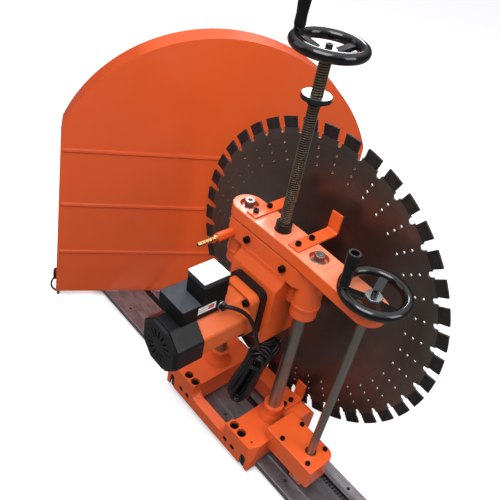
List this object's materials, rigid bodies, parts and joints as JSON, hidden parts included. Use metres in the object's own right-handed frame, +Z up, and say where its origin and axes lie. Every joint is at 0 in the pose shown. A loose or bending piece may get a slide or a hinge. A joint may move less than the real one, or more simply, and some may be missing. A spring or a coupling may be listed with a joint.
{
  "type": "rail-mounted wall saw",
  "caption": "Rail-guided concrete wall saw: a geared rail with a carriage, twin-column depth feed, electric motor and gearbox, large slotted blade and a separate guard.",
  "frame": {"origin": "on the rail's raised running surface, straight below the lead screw, midway between the two guide columns", "axes": "+X along the rail towards the travel handwheel, +Y along the blade axis from the motor towards the blade, +Z up along the guide columns"},
  "size_m": [1.5065, 0.9249, 1.1317],
  "materials": {
    "rail_steel": "satin, scratched",
    "rack_steel": "satin, greased",
    "guard_paint": "gloss orange",
    "strap_rubber": "matt",
    "cast_orange": "gloss orange over cast aluminium",
    "chromed_shaft": "polished",
    "black_screw": "black oxide",
    "bright_screw": "bright",
    "roller_black": "moulded on steel",
    "bracket_orange": "gloss orange",
    "bronze_bush": "machined",
    "bearing_steel": "ground",
    "gear_steel": "machined",
    "black_plastic": "gloss black",
    "black_steel": "gloss black",
    "grip_plastic": "gloss black",
    "adapter_orange": "gloss orange",
    "motor_orange": "gloss orange",
    "stator_iron": "laminated",
    "rotor_steel": "machined",
    "lid_white": "gloss white",
    "button_green": "gloss",
    "button_red": "gloss",
    "cable_black": "matt",
    "barb_brass": "machined",
    "disc_steel": "turned",
    "blade_steel": "dark, heat tinted",
    "segment_matrix": "sintered diamond segments"
  },
  "bodies": {
    "rail": {"rail_track": "rail_steel", "rail_rack": "rack_steel"},
    "guard": {"guard_shell": "guard_paint", "guard_strap": "strap_rubber"},
    "carriage": {"carriage_casting": "cast_orange", "carriage_cap_screws": "black_screw", "small_screws": "black_screw", "roller_pins": "bearing_steel", "guide_columns": "chromed_shaft", "top_plate": "cast_orange", "column_cap_bolts": "bright_screw", "guard_brackets": "bracket_orange", "lead_nut": "black_steel", "gear_housing": "cast_orange", "travel_bushes": "bronze_bush", "cross_shaft_bearings": "bearing_steel"},
    "travel_drive": {"travel_shaft": "chromed_shaft", "travel_bevel": "gear_steel", "travel_handwheel": "black_plastic", "travel_hub_screw": "bright_screw"},
    "travel_handle": {"travel_grip": "grip_plastic"},
    "cross_drive": {"cross_shaft": "gear_steel", "cross_bevel": "gear_steel", "rack_pinion": "gear_steel"},
    "roller_nl": {"roller_near_left": "roller_black"},
    "roller_nr": {"roller_near_right": "roller_black"},
    "roller_fl": {"roller_far_left": "roller_black"},
    "roller_fr": {"roller_far_right": "roller_black"},
    "head": {"head_casting": "cast_orange", "head_bushes": "bronze_bush", "head_screws": "black_screw", "gearbox_cover_plate": "black_steel", "motor_adapter": "adapter_orange", "motor_frame": "motor_orange", "motor_stator": "stator_iron", "motor_fan_cover": "black_plastic", "terminal_box": "black_plastic", "switch_box": "black_plastic", "power_cable": "cable_black", "hose_barb": "barb_brass", "head_bearings": "bearing_steel"},
    "lid": {"switch_lid": "lid_white"},
    "start": {"start_button": "button_green"},
    "stop": {"stop_button": "button_red"},
    "screw": {"lead_screw": "chromed_shaft", "screw_retainer": "gear_steel", "top_handwheel": "black_plastic", "top_hub_screw": "bright_screw"},
    "screw_handle": {"top_grip": "grip_plastic"},
    "stop_disc": {"depth_stop_disc": "disc_steel"},
    "rotor": {"motor_rotor": "rotor_steel", "motor_fan": "black_plastic"},
    "countershaft": {"counter_gear": "gear_steel"},
    "blade": {"spindle": "gear_steel", "output_gear": "gear_steel", "blade_flanges": "black_steel", "flange_bolts": "bright_screw", "spindle_nut": "bright_screw", "blade_core": "blade_steel", "blade_segments": "segment_matrix"}
  },
  "joints": [
    {"name": "guard_lift_off", "type": "slide", "parent": "rail", "child": "guard", "axis": [0, 0, 1], "range_m": [0, 0.3]},
    {"name": "carriage_travel", "type": "slide", "parent": "rail", "child": "carriage", "axis": [1, 0, 0], "range_m": [-0.03, 0.44]},
    {"name": "travel_shaft_turn", "type": "hinge", "parent": "carriage", "child": "travel_drive", "pos_m": [0.262, -0.012, 0.3], "axis": [0, 0, 1], "continuous": true},
    {"name": "travel_grip_spin", "type": "hinge", "parent": "travel_drive", "child": "travel_handle", "pos_m": [0.22054, -0.06141, 0.68], "axis": [0, 0, 1], "continuous": true},
    {"name": "cross_shaft_turn", "type": "hinge", "parent": "carriage", "child": "cross_drive", "pos_m": [0.262, 0, 0.02], "axis": [0, 1, 0], "continuous": true},
    {"name": "roller_near_left_turn", "type": "hinge", "parent": "carriage", "child": "roller_nl", "pos_m": [-0.16, -0.09805, 0], "axis": [0, 0, 1], "continuous": true},
    {"name": "roller_near_right_turn", "type": "hinge", "parent": "carriage", "child": "roller_nr", "pos_m": [0.146, -0.09805, 0], "axis": [0, 0, 1], "continuous": true},
    {"name": "roller_far_left_turn", "type": "hinge", "parent": "carriage", "child": "roller_fl", "pos_m": [-0.16, 0.09805, 0], "axis": [0, 0, 1], "continuous": true},
    {"name": "roller_far_right_turn", "type": "hinge", "parent": "carriage", "child": "roller_fr", "pos_m": [0.146, 0.09805, 0], "axis": [0, 0, 1], "continuous": true},
    {"name": "depth_feed", "type": "slide", "parent": "carriage", "child": "head", "axis": [0, 0, 1], "range_m": [-0.26, 0], "deforming": ["power_cable"]},
    {"name": "switch_lid_open", "type": "hinge", "parent": "head", "child": "lid", "pos_m": [0, -0.161, 0.563], "axis": [-1, 0, 0], "range_deg": [0, 100]},
    {"name": "start_press", "type": "slide", "parent": "head", "child": "start", "axis": [0, 0, 1], "range_m": [-0.003, 0], "stiffness_N_per_m": 400},
    {"name": "stop_press", "type": "slide", "parent": "head", "child": "stop", "axis": [0, 0, 1], "range_m": [-0.003, 0], "stiffness_N_per_m": 400},
    {"name": "lead_screw_turn", "type": "hinge", "parent": "head", "child": "screw", "pos_m": [0, 0, 0.8], "axis": [0, 0, 1], "continuous": true},
    {"name": "top_grip_spin", "type": "hinge", "parent": "screw", "child": "screw_handle", "pos_m": [-0.06168, -0.01886, 1.06], "axis": [0, 0, 1], "continuous": true},
    {"name": "depth_stop_set", "type": "slide", "parent": "screw", "child": "stop_disc", "axis": [0, 0, 1], "range_m": [-0.012, 0.06]},
    {"name": "motor_spin", "type": "hinge", "parent": "head", "child": "rotor", "pos_m": [0, -0.2, 0.42], "axis": [0, 1, 0], "continuous": true},
    {"name": "countershaft_spin", "type": "hinge", "parent": "head", "child": "countershaft", "pos_m": [-0.0378, 0, 0.416], "axis": [0, 1, 0], "continuous": true},
    {"name": "blade_spin", "type": "hinge", "parent": "head", "child": "blade", "pos_m": [0, 0.1, 0.412], "axis": [0, 1, 0], "continuous": true}
  ],
  "couplings": [
    {"joint": "cross_shaft_turn", "follows": "carriage_travel", "rad_per_m": 41.667},
    {"joint": "travel_shaft_turn", "follows": "carriage_travel", "rad_per_m": -41.667},
    {"joint": "roller_near_left_turn", "follows": "carriage_travel", "rad_per_m": 62.5},
    {"joint": "roller_near_right_turn", "follows": "carriage_travel", "rad_per_m": 62.5},
    {"joint": "roller_far_left_turn", "follows": "carriage_travel", "rad_per_m": -62.5},
    {"joint": "roller_far_right_turn", "follows": "carriage_travel", "rad_per_m": -62.5},
    {"joint": "lead_screw_turn", "follows": "depth_feed", "rad_per_m": 1256.6},
    {"joint": "motor_spin", "follows": "blade_spin", "ratio": 3.7143},
    {"joint": "countershaft_spin", "follows": "blade_spin", "ratio": -1.7143}
  ]
}
